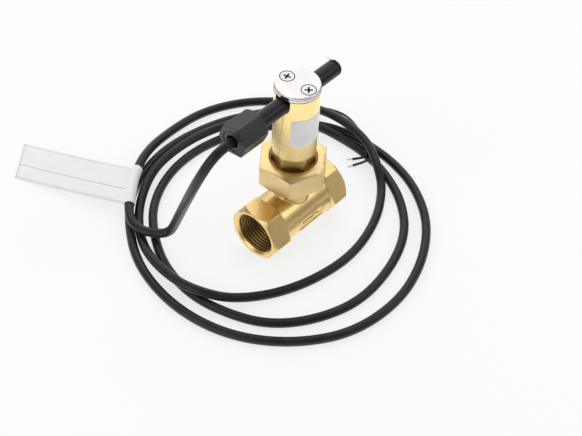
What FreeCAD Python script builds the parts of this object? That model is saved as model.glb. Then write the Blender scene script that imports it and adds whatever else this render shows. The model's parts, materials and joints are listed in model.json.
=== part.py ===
import FreeCAD, Part
import math
import os

# Paddle flow switch for a G 3/4 pipe. Millimetres, +Z up. The pipe runs along X and the head stands on
# the Z axis; z = 0 is the flat that the two hexagon ends of the tee rest on. Flow goes towards +X.

V = FreeCAD.Vector
X_AXIS = V(1, 0, 0)
Y_AXIS = V(0, 1, 0)
Z_AXIS = V(0, 0, 1)

# ---------------------------------------------------------------- driving dimensions: pipe tee
TEE_LENGTH = 60.0          # face to face
HEX_AF = 30.4              # across flats of the two pipe ends
HEX_LENGTH = 12.8          # length of each hexagon end
END_FACE_R = 14.9          # radius of the flat ring on the end faces, where the chamfer starts
END_SLOPE = 1.0            # axial rise per radial millimetre on the chamfer at the end faces
INNER_SLOPE = 0.5          # the same on the hexagon's inner side
PROUD = 0.1                # how far a chamfer cone reaches past the corners it cuts
BODY_R = 14.7              # round middle of the tee
THREAD_R = 12.06           # bore wall of the G 3/4 thread
THREAD_LENGTH = 15.0
MOUTH_R = 13.5             # countersink at the thread's mouth
WATERWAY_R = 10.0
NECK_R = 9.8               # outside of the branch's neck
NECK_BORE_R = 7.8
NECK_FILLET = 1.2

# flow mark on the tee's front side
MARK_LENGTH = 18.0
MARK_HEIGHT = 7.0
MARK_DEPTH = 0.7
MARK_X = 1.5
MARK_RAISE = 0.45
ARROW_LENGTH = 13.0
ARROW_WIDTH = 4.6
ARROW_SHAFT = 1.6

# ---------------------------------------------------------------- union nut and branch collar
NUT_AF = 35.0
NUT_BOTTOM = 40.6
NUT_HEIGHT = 14.8
NUT_TURN = -142.0          # angle of one corner about +Z, from +X
NUT_EDGE = 1.5             # rounding of the nut's six corners
NUT_WEB = 3.4              # thickness of the nut's top web
NUT_TOP_R = 14.6           # flat ring on top of the nut, where the chamfer starts
NUT_TOP_SLOPE = 0.4
NUT_LOW_SLOPE = 0.35
NUT_LOW_INSET = 0.2        # the lower chamfer starts this far inside the flats
NUT_THREAD_R = 15.8
NUT_HOLE_GAP = 0.4         # between the head's wrench hexagon and the nut's hole
THREAD_GAP = 0.1           # between the nut's thread and the branch collar
COLLAR_LEAD = 0.8          # the branch collar starts this far above the nut's lower face
SOCKET_R = 10.6            # counterbore for the head's spigot
SOCKET_DEPTH = 5.0
SEAL_R_IN = 11.9
SEAL_R_OUT = 13.8
SEAL_T = 1.6

# ---------------------------------------------------------------- switch head
TOWER_R = 12.0
TOWER_TOP = 103.8
WRENCH_AF = 21.0
WRENCH_TURN = -110.5       # angle of one corner about +Z, from +X
WRENCH_TOP = 61.5
HEAD_COLLAR_R = 15.2
HEAD_COLLAR_T = 3.4
SPIGOT_LENGTH = 4.6
SPIGOT_GAP = 0.2
HEAD_BORE_R = 8.2          # bore in which the magnet swings
CARRIER_BORE_R = 8.5       # wider lower bore that takes the pivot carrier
HEAD_ROOF = 2.6            # wall between the bore's top and the return magnet's pocket

# cover disc and screws
COVER_R = 12.0
COVER_T = 3.2
COVER_EDGE = 0.5
SCREW_Y = 7.3
SCREW_R = 1.95             # M4
SCREW_HEAD_R = 3.75
SCREW_HEAD_T = 1.9
SCREW_LENGTH = 13.0
SCREW_GAP = 0.1
RECESS_WIDTH = 0.9
RECESS_SPAN = 4.2
RECESS_DEPTH = 1.3
RECESS_TURNS = (43.0, 15.0)   # degrees, front screw and back screw

# label round the tower
LABEL_T = 0.15
LABEL_DROP = 12.2          # from the tower's top down to the label's upper edge
LABEL_HEIGHT = 18.6
LABEL_START = -151.0       # degrees about +Z, from +X
LABEL_ANGLE = 122.0
LABEL_CORNER = 2.0

# ---------------------------------------------------------------- paddle and its pivot
PIVOT_Z = 59.0
PIN_R = 1.0
PIVOT_GAP = 0.06           # running clearance of the hub on its pin
CARRIER_R_IN = 7.0
CARRIER_HEIGHT = 9.0
FIT_GAP = 0.05             # close fits inside one body
RING_T = 1.0
RING_R_IN = 7.9
RING_GROOVE = 0.7
SPACER_R = 2.0
HUB_R = 3.2
HUB_WIDTH = 7.0
SIDE_GAP = 0.3             # end float of the hub between its spacers
STEM_R = 1.5
STEM_SEAT = 1.6            # depth of the stem's seat in the hub
VANE_R = 7.0
VANE_T = 0.9
VANE_TAB = 5.0
VANE_TAB_TOP = 26.0
VANE_BOLT_R = 0.8
VANE_BOLT_HEAD_R = 1.6
VANE_BOLT_HEAD_T = 1.1
ARM_R = 1.2
HOLDER_R = 3.4
HOLDER_LENGTH = 9.5
HOLDER_HEADROOM = 3.0      # between the magnet holder and the top of the head's bore
MAGNET_R = 2.5
MAGNET_LENGTH = 7.5
RETURN_MAGNET_R = 2.5
RETURN_MAGNET_T = 3.0
RETURN_MAGNET_X = -5.5
RETURN_MAGNET_SINK = 0.3   # below the slot's floor

# ---------------------------------------------------------------- contact: rod, gland, reed
ROD_R = 4.6
ROD_BORE_R = 2.9
ROD_GAP = 0.08             # running clearance of the rod in the head's slot
ROD_NEAR = -41.5           # end inside the gland
ROD_FAR = 27.9
PLUG_T = 2.2
PLUG_CHAMFER = 1.1
PLUG_SPIGOT = 5.0
NIB_R = 0.6
GLAND_AF = 16.4
GLAND_NEAR = -47.5         # front face, where the cable leaves
GLAND_FAR = -30.0
GLAND_TURN = -10.0         # angle of the first corner, from +Y towards +Z
GLAND_FACE_R = 7.6         # flat on the gland's rounded back end
GLAND_ROUND = 4.2
GLAND_LIP = 2.9            # thickness of the lip in front of the bush
GLAND_HOLE_R = 3.6
GLAND_RING_R = 6.2
GLAND_RING_W = 0.9
GLAND_RING_DEPTH = 0.6
REED_R = 1.3
REED_LENGTH = 14.0
REED_WALL = 0.4
LEAD_R = 0.3
LEAD_LENGTH = 15.0
REED_OVERLAP = 0.8
CONTACT_GAP = 0.25
WIRE_R = 0.5
WIRE_OFFSET = 2.1

# ---------------------------------------------------------------- cable, cores and flag
CABLE_R = 2.6
CORE_R = 0.75
CORE_STRIP_R = 0.4
CORE_STRIP = 3.2
FLOOR = CABLE_R            # height of the cable's centre line where it lies on the floor
SLEEVE_R = 3.2
SLEEVE_GAP = 0.1           # round the cable
SLEEVE_EDGES = slice(22, 26)   # edges of the cable's path that the sleeve covers
FLAG_T = 0.35
FLAG_FAR = ((-84.4, 136.5, 0.2), (-62.8, 153.9, 0.2))
FLAG_NEAR = ((-58.5, 69.3, 8.6), (-36.5, 85.6, 8.6))

# ---------------------------------------------------------------- derived places
PIPE_Z = HEX_AF / 2
NUT_TOP = NUT_BOTTOM + NUT_HEIGHT
COLLAR_TOP = NUT_TOP - NUT_WEB             # the nut's web bears on the head's collar here
BRANCH_TOP = COLLAR_TOP - HEAD_COLLAR_T
ROD_Z = TOWER_TOP - ROD_R - ROD_GAP
SLOT_FLOOR = ROD_Z - ROD_R - ROD_GAP
COVER_TOP = TOWER_TOP + COVER_T
CARRIER_TOP = PIVOT_Z + CARRIER_HEIGHT / 2
CARRIER_BOTTOM = PIVOT_Z - CARRIER_HEIGHT / 2
RING_BOTTOM = CARRIER_BOTTOM - RING_T
POCKET_BOTTOM = SLOT_FLOOR - RETURN_MAGNET_SINK - RETURN_MAGNET_T
HEAD_BORE_TOP = POCKET_BOTTOM - HEAD_ROOF
HOLDER_TOP = HEAD_BORE_TOP - HOLDER_HEADROOM
HOLDER_BOTTOM = HOLDER_TOP - HOLDER_LENGTH
LABEL_BOTTOM = TOWER_TOP - LABEL_DROP - LABEL_HEIGHT

# the cable's route, from inside the gland to its open end
CABLE_ROUTE = [
    (ROD_NEAR, 0, ROD_Z), (-51, 0, ROD_Z), (-60, 1, 96), (-67, 4, 84), (-66, 13, 62), (-61, 24, 39),
    (-58, 32, 21), (-58, 36, 12), (-61, 41, 8.6), (-66, 49, 8.6),
    (-66, 58, 8.6), (-61, 66, 8.6), (-52, 74, 8.6), (-41, 83, 8.6), (-21, 94, 6.8), (5, 99, FLOOR),
    (29, 97, FLOOR), (52, 86, FLOOR), (70, 69, FLOOR), (77, 49, 5.5), (77, 31, 9.8), (76, 16, 9.8),
    (72, 2, 9.8), (64, -11, 8), (56, -22, FLOOR), (35, -35, FLOOR), (7, -42, FLOOR), (-20, -39, FLOOR),
    (-44, -30, FLOOR), (-64, -17, 5), (-74, -4, 8.6), (-78, 11, 8.6), (-76, 31, 7), (-68, 49, FLOOR),
    (-56, 64, FLOOR), (-42, 74, 5.2), (-26, 81, 6.6), (-6, 83, 6.6), (13, 81, 6.6), (31, 74, 7.6),
    (46, 63, 8.6), (57, 50, 8.6), (66, 36, 6.4), (71, 20, FLOOR), (71, 3, FLOOR), (66, -17, FLOOR),
    (56, -36, FLOOR), (39, -53, FLOOR), (14, -63, FLOOR), (-16, -66, FLOOR), (-42, -57, FLOOR),
    (-62, -41, FLOOR), (-72, -19, FLOOR), (-76, 3, FLOOR), (-72, 26, FLOOR), (-61, 46, FLOOR),
    (-46, 63, FLOOR), (-24, 74, FLOOR), (-1, 77, FLOOR), (21, 73, FLOOR), (40, 65, FLOOR),
    (56, 54, FLOOR), (69, 41, FLOOR), (76, 26, FLOOR), (78, 8, FLOOR), (77, -13, FLOOR),
    (70, -35, FLOOR), (54, -57, FLOOR), (29, -73, FLOOR), (-1, -81, FLOOR), (-34, -77, FLOOR),
    (-59, -61, FLOOR), (-77, -39, FLOOR), (-86, -14, FLOOR), (-87, 13, FLOOR), (-80, 40, FLOOR),
    (-65, 62, FLOOR), (-49, 78, FLOOR), (-25, 88, FLOOR), (-2, 90, FLOOR), (21, 86, FLOOR),
    (42, 78, FLOOR), (59, 67, FLOOR),
]
BROWN_ROUTE = [
    (59.5, 67.8, 2.6), (64.6, 64.5, 2.4), (71.5, 59, 0.8), (79.5, 53.5, 0.8), (86, 46, 0.8),
    (89, 36.5, 0.8), (86.4, 28, 3.2), (81.4, 19, 6.1), (76.8, 10.8, 6.1), (72, 3, 6.1),
    (68.9, -1.5, 5.85), (67, -3.2, 5.6), (65.6, -1.6, 4.2), (64.3, 0.2, 2.4), (61.8, 2.1, 1.4),
    (59.4, 3.4, 1.1),
]
BLUE_ROUTE = [
    (58.5, 66.2, 2.6), (63.6, 62.9, 2.4), (70, 56.5, 0.8), (78, 50, 0.8), (83.5, 42.5, 0.8),
    (85.5, 34, 0.8), (83.5, 26, 3.5), (79.1, 18.6, 6.1), (75, 11, 6.1), (71.4, 5.4, 6.2),
    (68.6, 0.6, 6), (66.9, 0.5, 5.1), (66, 3.2, 2.7), (64.8, 5.5, 1.4), (63.2, 7, 1.1),
]


# ---------------------------------------------------------------- helpers
def save(shape, node):
    """Write one named piece, after checking that it is a sound solid."""
    if not shape.isValid() or not shape.Solids:
        raise ValueError(node + " is not a valid solid")
    shape.exportStep(os.path.join("parts", node + ".step"))
    print("%-18s solids %d  volume %.1f mm3" % (node, len(shape.Solids), shape.Volume))


def rod(radius, length, start, direction=Z_AXIS):
    return Part.makeCylinder(radius, length, start, direction)


def turned(profile, origin=V(0, 0, 0), axis=Z_AXIS, angle=360.0, start=0.0):
    """Revolve a closed profile of (radius, height) points about an axis through origin."""
    points = [V(r, 0, h) for r, h in profile]
    face = Part.Face(Part.makePolygon(points + [points[0]]))
    solid = face.revolve(V(0, 0, 0), Z_AXIS, angle)
    solid.rotate(V(0, 0, 0), Z_AXIS, start)
    solid.Placement = FreeCAD.Placement(origin, FreeCAD.Rotation(Z_AXIS, axis)).multiply(solid.Placement)
    return solid


def hexagon(across_flats, length, origin, axis, first_corner):
    """Hexagonal bar along +Z or +X. The first corner's angle runs from +X towards +Y, or from +Y to +Z."""
    u, w = (X_AXIS, Y_AXIS) if axis.z else (Y_AXIS, Z_AXIS)
    radius = across_flats / math.sqrt(3)
    points = []
    for k in range(7):
        a = math.radians(first_corner + 60 * k)
        points.append(origin + u * (radius * math.cos(a)) + w * (radius * math.sin(a)))
    return Part.Face(Part.makePolygon(points)).extrude(axis * length)


def cord_edges(route):
    """Straight runs joined by tangent arcs, each as large as its two runs allow."""
    points = [V(*p) for p in route]
    edges = []
    radii = []
    start = points[0]
    for before, corner, after in zip(points, points[1:], points[2:]):
        u = (corner - before).normalize()
        w = (after - corner).normalize()
        turn = u.getAngle(w)
        reach = 0.45 * min((corner - before).Length, (after - corner).Length)
        radius = reach / math.tan(turn / 2)
        radii.append(radius)
        first = corner - u * reach
        last = corner + w * reach
        inward = (w - u).normalize()
        middle = corner + inward * (math.hypot(reach, radius) - radius)
        edges.append(Part.LineSegment(start, first).toShape())
        edges.append(Part.Arc(first, middle, last).toShape())
        start = last
    edges.append(Part.LineSegment(start, points[-1]).toShape())
    return edges, radii


def tube(edges, radius):
    """Round tube swept along a chain of tangent edges."""
    path = Part.Wire(edges)
    first = edges[0]
    direction = first.tangentAt(first.FirstParameter)
    circle = Part.makeCircle(radius, first.valueAt(first.FirstParameter), direction)
    swept = path.makePipe(Part.Face(Part.Wire(circle)))
    solid = swept.Solids[0]
    expected = math.pi * radius ** 2 * path.Length
    if abs(solid.Volume / expected - 1) > 0.01:
        raise ValueError("a swept tube has the wrong volume")
    return solid


# ---------------------------------------------------------------- pipe side
def hexagon_end(side):
    """One hexagon end of the tee, chamfered on both faces; side is -1 or +1 along X."""
    corner_r = HEX_AF / math.sqrt(3) + PROUD
    face = (END_FACE_R, (corner_r - END_FACE_R) * END_SLOPE)
    inner = (BODY_R, (corner_r - BODY_R) * INNER_SLOPE)
    low, high = (face, inner) if side < 0 else (inner, face)
    start = V(-TEE_LENGTH / 2 if side < 0 else TEE_LENGTH / 2 - HEX_LENGTH, 0, PIPE_Z)
    bar = hexagon(HEX_AF, HEX_LENGTH, start, X_AXIS, 0)
    envelope = turned([(0, 0), (low[0], 0), (corner_r, low[1]), (corner_r, HEX_LENGTH - high[1]),
                       (high[0], HEX_LENGTH), (0, HEX_LENGTH)], start, X_AXIS)
    return bar.common(envelope)


def flow_mark():
    """Sunk panel on the tee's front side, with the flow arrow standing in it."""
    front = -(BODY_R - MARK_DEPTH)
    panel = Part.makeBox(MARK_LENGTH, MARK_DEPTH + 1, MARK_HEIGHT,
                         V(MARK_X - MARK_LENGTH / 2, front - MARK_DEPTH - 1, PIPE_Z - MARK_HEIGHT / 2))
    tip = MARK_X + ARROW_LENGTH / 2
    tail = MARK_X - ARROW_LENGTH / 2
    barb = tip - ARROW_WIDTH
    half = ARROW_WIDTH / 2
    thin = ARROW_SHAFT / 2
    outline = [(tail, -thin), (barb, -thin), (barb, -half), (tip, 0),
               (barb, half), (barb, thin), (tail, thin)]
    points = [V(x, front + 0.3, PIPE_Z + z) for x, z in outline]
    arrow = Part.Face(Part.makePolygon(points + [points[0]])).extrude(V(0, -MARK_RAISE - 0.3, 0))
    return panel, arrow


def make_tee():
    half = TEE_LENGTH / 2
    middle = rod(BODY_R, TEE_LENGTH - HEX_LENGTH, V(-half + HEX_LENGTH / 2, 0, PIPE_Z), X_AXIS)
    neck = rod(NECK_R, BRANCH_TOP - PIPE_Z, V(0, 0, PIPE_Z))
    body = middle.fuse(neck)
    saddle = [e for e in body.Edges
              if abs(e.BoundBox.XLength - 2 * NECK_R) < 0.2 and e.BoundBox.ZMin > PIPE_Z + 1
              and e.BoundBox.ZLength > 0.5]
    body = body.makeFillet(NECK_FILLET, saddle)
    collar_start = NUT_BOTTOM + COLLAR_LEAD
    collar_r = NUT_THREAD_R - THREAD_GAP
    collar = turned([(0, collar_start - 1.5), (NECK_R, collar_start - 1.5), (collar_r, collar_start + 1),
                     (collar_r, BRANCH_TOP - 0.5), (collar_r - 0.5, BRANCH_TOP), (0, BRANCH_TOP)])
    body = body.fuse([collar, hexagon_end(-1), hexagon_end(1)])
    cuts = [rod(WATERWAY_R, TEE_LENGTH, V(-half, 0, PIPE_Z), X_AXIS)]
    for side in (-1, 1):
        face = V(side * half, 0, PIPE_Z)
        inward = V(-side, 0, 0)
        cuts.append(rod(THREAD_R, THREAD_LENGTH, face, inward))
        cuts.append(Part.makeCone(MOUTH_R, THREAD_R, MOUTH_R - THREAD_R, face, inward))
    cuts.append(rod(NECK_BORE_R, BRANCH_TOP - PIPE_Z, V(0, 0, PIPE_Z)))
    cuts.append(rod(SOCKET_R, SOCKET_DEPTH, V(0, 0, BRANCH_TOP - SOCKET_DEPTH)))
    groove_in = SEAL_R_IN - FIT_GAP
    groove_out = SEAL_R_OUT + FIT_GAP
    groove_floor = BRANCH_TOP - SEAL_T
    cuts.append(turned([(groove_in, groove_floor), (groove_out, groove_floor),
                        (groove_out, BRANCH_TOP + 1), (groove_in, BRANCH_TOP + 1)]))
    panel, arrow = flow_mark()
    cuts.append(panel)
    body = body.cut(cuts)
    body = body.fuse(arrow).removeSplitter()
    save(body, "tee_body")


def make_seal():
    low = BRANCH_TOP - SEAL_T
    save(turned([(SEAL_R_IN, low), (SEAL_R_OUT, low), (SEAL_R_OUT, BRANCH_TOP), (SEAL_R_IN, BRANCH_TOP)]),
         "head_seal")


def make_nut():
    corner_r = NUT_AF / math.sqrt(3) + PROUD
    low_r = NUT_AF / 2 - NUT_LOW_INSET
    hole_r = WRENCH_AF / math.sqrt(3) + NUT_HOLE_GAP
    top_rise = (corner_r - NUT_TOP_R) * NUT_TOP_SLOPE
    low_rise = (corner_r - low_r) * NUT_LOW_SLOPE
    bar = hexagon(NUT_AF, NUT_HEIGHT, V(0, 0, NUT_BOTTOM), Z_AXIS, NUT_TURN)
    bar = bar.makeFillet(NUT_EDGE, [e for e in bar.Edges if e.BoundBox.ZLength > NUT_HEIGHT / 2])
    body = bar.common(turned([(0, NUT_BOTTOM), (low_r, NUT_BOTTOM), (corner_r, NUT_BOTTOM + low_rise),
                              (corner_r, NUT_TOP - top_rise), (NUT_TOP_R, NUT_TOP), (0, NUT_TOP)]))
    thread = rod(NUT_THREAD_R, NUT_HEIGHT - NUT_WEB, V(0, 0, NUT_BOTTOM))
    hole = rod(hole_r, NUT_HEIGHT, V(0, 0, NUT_BOTTOM))
    lip = Part.makeCone(hole_r, hole_r + 0.8, 0.8, V(0, 0, NUT_TOP - 0.8))
    save(body.cut([thread, hole, lip]), "union_nut")


# ---------------------------------------------------------------- head
def make_head():
    spigot_bottom = BRANCH_TOP - SPIGOT_LENGTH
    spigot_r = SOCKET_R - SPIGOT_GAP
    lower = turned([(0, spigot_bottom), (spigot_r - 0.5, spigot_bottom), (spigot_r, spigot_bottom + 0.5),
                    (spigot_r, BRANCH_TOP), (HEAD_COLLAR_R, BRANCH_TOP), (HEAD_COLLAR_R, COLLAR_TOP),
                    (0, COLLAR_TOP)])
    wrench = hexagon(WRENCH_AF, WRENCH_TOP - COLLAR_TOP, V(0, 0, COLLAR_TOP), Z_AXIS, WRENCH_TURN)
    tower = turned([(0, WRENCH_TOP), (TOWER_R - 1.2, WRENCH_TOP), (TOWER_R, WRENCH_TOP + 0.8),
                    (TOWER_R, TOWER_TOP), (0, TOWER_TOP)])
    body = lower.fuse([wrench, tower])
    slot_r = ROD_R + ROD_GAP
    length = 2 * TOWER_R + 2
    slot = rod(slot_r, length, V(-length / 2, 0, ROD_Z), X_AXIS)
    mouth = Part.makeBox(length, 2 * slot_r, TOWER_TOP - ROD_Z + 1, V(-length / 2, -slot_r, ROD_Z))
    bore = turned([(0, spigot_bottom - 1), (CARRIER_BORE_R, spigot_bottom - 1),
                   (CARRIER_BORE_R, RING_BOTTOM), (CARRIER_BORE_R + RING_GROOVE, RING_BOTTOM),
                   (CARRIER_BORE_R + RING_GROOVE, CARRIER_BOTTOM), (CARRIER_BORE_R, CARRIER_BOTTOM),
                   (CARRIER_BORE_R, CARRIER_TOP), (HEAD_BORE_R, CARRIER_TOP),
                   (HEAD_BORE_R, HEAD_BORE_TOP - 1), (HEAD_BORE_R - 1, HEAD_BORE_TOP), (0, HEAD_BORE_TOP)])
    pocket = rod(RETURN_MAGNET_R + FIT_GAP, ROD_Z - POCKET_BOTTOM, V(RETURN_MAGNET_X, 0, POCKET_BOTTOM))
    cuts = [slot, mouth, bore, pocket]
    for y in (-SCREW_Y, SCREW_Y):
        depth = SCREW_LENGTH - COVER_T + 1
        cuts.append(rod(SCREW_R + SCREW_GAP, depth, V(0, y, TOWER_TOP - depth)))
    save(body.cut(cuts).removeSplitter(), "switch_head")


def make_return_magnet():
    save(rod(RETURN_MAGNET_R, RETURN_MAGNET_T, V(RETURN_MAGNET_X, 0, POCKET_BOTTOM)), "return_magnet")


def make_cover():
    disc = turned([(0, TOWER_TOP), (COVER_R, TOWER_TOP), (COVER_R, COVER_TOP - COVER_EDGE),
                   (COVER_R - COVER_EDGE * 0.3, COVER_TOP - COVER_EDGE * 0.3),
                   (COVER_R - COVER_EDGE, COVER_TOP), (0, COVER_TOP)])
    cuts = []
    for y in (-SCREW_Y, SCREW_Y):
        cuts.append(rod(SCREW_R + SCREW_GAP, COVER_T, V(0, y, TOWER_TOP)))
        cuts.append(Part.makeCone(SCREW_R + SCREW_GAP, SCREW_HEAD_R + SCREW_GAP, SCREW_HEAD_T,
                                  V(0, y, COVER_TOP - SCREW_HEAD_T)))
    save(disc.cut(cuts), "cover_disc")


def make_screws():
    """Two countersunk machine screws with a cross recess."""
    screws = []
    for y, turn in zip((-SCREW_Y, SCREW_Y), RECESS_TURNS):
        place = V(0, y, COVER_TOP)
        shank = rod(SCREW_R, SCREW_LENGTH, place - V(0, 0, SCREW_LENGTH))
        head = Part.makeCone(SCREW_R, SCREW_HEAD_R, SCREW_HEAD_T, place - V(0, 0, SCREW_HEAD_T))
        screw = shank.fuse(head)
        low = COVER_TOP - RECESS_DEPTH
        half = RECESS_SPAN / 2
        thin = RECESS_WIDTH / 2
        slot_a = Part.makeBox(RECESS_SPAN, RECESS_WIDTH, RECESS_DEPTH, V(-half, y - thin, low))
        slot_b = Part.makeBox(RECESS_WIDTH, RECESS_SPAN, RECESS_DEPTH, V(-thin, y - half, low))
        recess = slot_a.fuse(slot_b)
        recess.rotate(place, Z_AXIS, turn)
        screws.append(screw.cut(recess))
    save(Part.makeCompound(screws), "cover_screws")


def make_label():
    band = turned([(TOWER_R, LABEL_BOTTOM), (TOWER_R + LABEL_T, LABEL_BOTTOM),
                   (TOWER_R + LABEL_T, LABEL_BOTTOM + LABEL_HEIGHT), (TOWER_R, LABEL_BOTTOM + LABEL_HEIGHT)],
                  angle=LABEL_ANGLE, start=LABEL_START)
    inset = math.degrees(LABEL_CORNER / TOWER_R)
    reach = 2 * LABEL_CORNER
    cutters = []
    for side, angle in ((-1, LABEL_START + inset), (1, LABEL_START + LABEL_ANGLE - inset)):
        for end, height in ((-1, LABEL_BOTTOM + LABEL_CORNER),
                            (1, LABEL_BOTTOM + LABEL_HEIGHT - LABEL_CORNER)):
            start = V(TOWER_R - LABEL_CORNER, 0, height)
            block = Part.makeBox(reach, reach, reach,
                                 start + V(0, min(0, side * reach), min(0, end * reach)))
            cutter = block.cut(rod(LABEL_CORNER, reach, start, X_AXIS))
            cutter.rotate(V(0, 0, 0), Z_AXIS, angle)
            cutters.append(cutter)
    save(band.cut(cutters), "head_label")


# ---------------------------------------------------------------- pivot and paddle
def make_pivot():
    carrier = turned([(CARRIER_R_IN, CARRIER_BOTTOM), (CARRIER_BORE_R - FIT_GAP, CARRIER_BOTTOM),
                      (CARRIER_BORE_R - FIT_GAP, CARRIER_TOP), (CARRIER_R_IN, CARRIER_TOP)])
    across = rod(PIN_R, 2 * CARRIER_BORE_R, V(0, -CARRIER_BORE_R, PIVOT_Z), Y_AXIS)
    save(carrier.cut(across), "pivot_carrier")
    reach = math.sqrt((CARRIER_BORE_R - FIT_GAP) ** 2 - PIN_R ** 2)
    save(rod(PIN_R, 2 * reach, V(0, -reach, PIVOT_Z), Y_AXIS), "pivot_pin")
    outer = CARRIER_BORE_R + RING_GROOVE - FIT_GAP
    ring = turned([(RING_R_IN, RING_BOTTOM), (outer, RING_BOTTOM), (outer, CARRIER_BOTTOM),
                   (RING_R_IN, CARRIER_BOTTOM)])
    gap = Part.makeBox(outer, 3.0, RING_T, V(0, -1.5, RING_BOTTOM))
    save(ring.cut(gap), "carrier_ring")
    start = HUB_WIDTH / 2 + SIDE_GAP
    end = math.sqrt(CARRIER_R_IN ** 2 - SPACER_R ** 2)
    spacers = []
    for side in (-1, 1):
        sleeve = rod(SPACER_R, end - start, V(0, side * start, PIVOT_Z), V(0, side, 0))
        spacers.append(sleeve.cut(rod(PIN_R, 2 * end, V(0, -end, PIVOT_Z), Y_AXIS)))
    save(Part.makeCompound(spacers), "pivot_spacers")


def make_paddle():
    hub = rod(HUB_R, HUB_WIDTH, V(0, -HUB_WIDTH / 2, PIVOT_Z), Y_AXIS)
    stem_top = PIVOT_Z - HUB_R + STEM_SEAT
    arm_bottom = PIVOT_Z + HUB_R - STEM_SEAT
    hub = hub.cut([rod(PIN_R + PIVOT_GAP, HUB_WIDTH, V(0, -HUB_WIDTH / 2, PIVOT_Z), Y_AXIS),
                   rod(STEM_R, HUB_R, V(0, 0, stem_top - HUB_R)),
                   rod(ARM_R, HUB_R, V(0, 0, arm_bottom))])
    save(hub, "paddle_hub")

    stem_bottom = PIPE_Z - VANE_TAB
    stem = rod(STEM_R, stem_top - stem_bottom, V(0, 0, stem_bottom))
    flat = Part.makeBox(2 * STEM_R, 2 * STEM_R, VANE_TAB_TOP - stem_bottom,
                        V(-2 * STEM_R, -STEM_R, stem_bottom))
    bolt_hole = rod(VANE_BOLT_R, 4 * STEM_R, V(-2 * STEM_R, 0, PIPE_Z), X_AXIS)
    save(stem.cut([flat, bolt_hole]), "paddle_stem")

    disc = rod(VANE_R, VANE_T, V(-VANE_T, 0, PIPE_Z), X_AXIS)
    tab = Part.makeBox(VANE_T, VANE_TAB, VANE_TAB_TOP - PIPE_Z, V(-VANE_T, -VANE_TAB / 2, PIPE_Z))
    save(disc.fuse(tab).cut(bolt_hole).removeSplitter(), "paddle_vane")

    head = rod(VANE_BOLT_HEAD_R, VANE_BOLT_HEAD_T, V(-VANE_T - VANE_BOLT_HEAD_T, 0, PIPE_Z), X_AXIS)
    shank = rod(VANE_BOLT_R, VANE_T + STEM_R, V(-VANE_T, 0, PIPE_Z), X_AXIS)
    save(head.fuse(shank), "vane_rivet")

    holder = turned([(0, arm_bottom), (ARM_R, arm_bottom), (ARM_R, HOLDER_BOTTOM - 1),
                     (HOLDER_R - 0.6, HOLDER_BOTTOM), (HOLDER_R, HOLDER_BOTTOM + 0.6), (HOLDER_R, HOLDER_TOP),
                     (MAGNET_R, HOLDER_TOP), (MAGNET_R, HOLDER_TOP - MAGNET_LENGTH),
                     (0, HOLDER_TOP - MAGNET_LENGTH)])
    save(holder, "magnet_holder")
    save(rod(MAGNET_R, MAGNET_LENGTH, V(0, 0, HOLDER_TOP - MAGNET_LENGTH)), "paddle_magnet")


# ---------------------------------------------------------------- contact
def make_rod():
    tube_body = rod(ROD_R, ROD_FAR - ROD_NEAR, V(ROD_NEAR, 0, ROD_Z), X_AXIS)
    bore = rod(ROD_BORE_R, ROD_FAR - ROD_NEAR, V(ROD_NEAR, 0, ROD_Z), X_AXIS)
    save(tube_body.cut(bore), "contact_rod")
    far = V(ROD_FAR, 0, ROD_Z)
    plug = turned([(0, -PLUG_SPIGOT), (ROD_BORE_R, -PLUG_SPIGOT), (ROD_BORE_R, 0), (ROD_R, 0),
                   (ROD_R, PLUG_T - PLUG_CHAMFER), (ROD_R - PLUG_CHAMFER * 0.6, PLUG_T), (0, PLUG_T)],
                  far, X_AXIS)
    nib = rod(NIB_R, 1.0, V(ROD_FAR + NIB_R, 0, ROD_Z + ROD_R - 0.4))
    save(plug.fuse(nib), "rod_plug")


def make_gland():
    length = GLAND_FAR - GLAND_NEAR
    near = V(GLAND_NEAR, 0, ROD_Z)
    corner_r = GLAND_AF / math.sqrt(3)
    bar = hexagon(GLAND_AF, length, near, X_AXIS, GLAND_TURN)
    long_edges = [e for e in bar.Edges if e.BoundBox.XLength > length - 0.1]
    bar = bar.makeFillet(0.8, long_edges)
    back = V(GLAND_FACE_R, 0, length)
    side = V(corner_r, 0, length - GLAND_ROUND)
    knee = V(GLAND_FACE_R + (corner_r - GLAND_FACE_R) * 0.75, 0, length - GLAND_ROUND * 0.3)
    outline = [Part.LineSegment(V(0, 0, 0), V(corner_r - 0.5, 0, 0)).toShape(),
               Part.LineSegment(V(corner_r - 0.5, 0, 0), V(corner_r, 0, 0.5)).toShape(),
               Part.LineSegment(V(corner_r, 0, 0.5), side).toShape(),
               Part.Arc(side, knee, back).toShape(),
               Part.LineSegment(back, V(0, 0, length)).toShape(),
               Part.LineSegment(V(0, 0, length), V(0, 0, 0)).toShape()]
    envelope = Part.Face(Part.Wire(outline)).revolve(V(0, 0, 0), Z_AXIS, 360)
    envelope.Placement = FreeCAD.Placement(near, FreeCAD.Rotation(Z_AXIS, X_AXIS))
    body = bar.common(envelope)
    hole = rod(GLAND_HOLE_R, length, near, X_AXIS)
    socket = rod(ROD_R + FIT_GAP, length - GLAND_LIP, V(GLAND_NEAR + GLAND_LIP, 0, ROD_Z), X_AXIS)
    ring = turned([(GLAND_RING_R - GLAND_RING_W, 0), (GLAND_RING_R, 0), (GLAND_RING_R, GLAND_RING_DEPTH),
                   (GLAND_RING_R - GLAND_RING_W, GLAND_RING_DEPTH)], near, X_AXIS)
    save(body.cut([hole, socket, ring]), "gland_nut")

    bush_start = V(GLAND_NEAR + GLAND_LIP, 0, ROD_Z)
    bush_length = ROD_NEAR - GLAND_NEAR - GLAND_LIP
    bush = rod(ROD_R, bush_length, bush_start, X_AXIS)
    save(bush.cut(rod(CABLE_R + FIT_GAP, bush_length, bush_start, X_AXIS)), "gland_bush")


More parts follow.
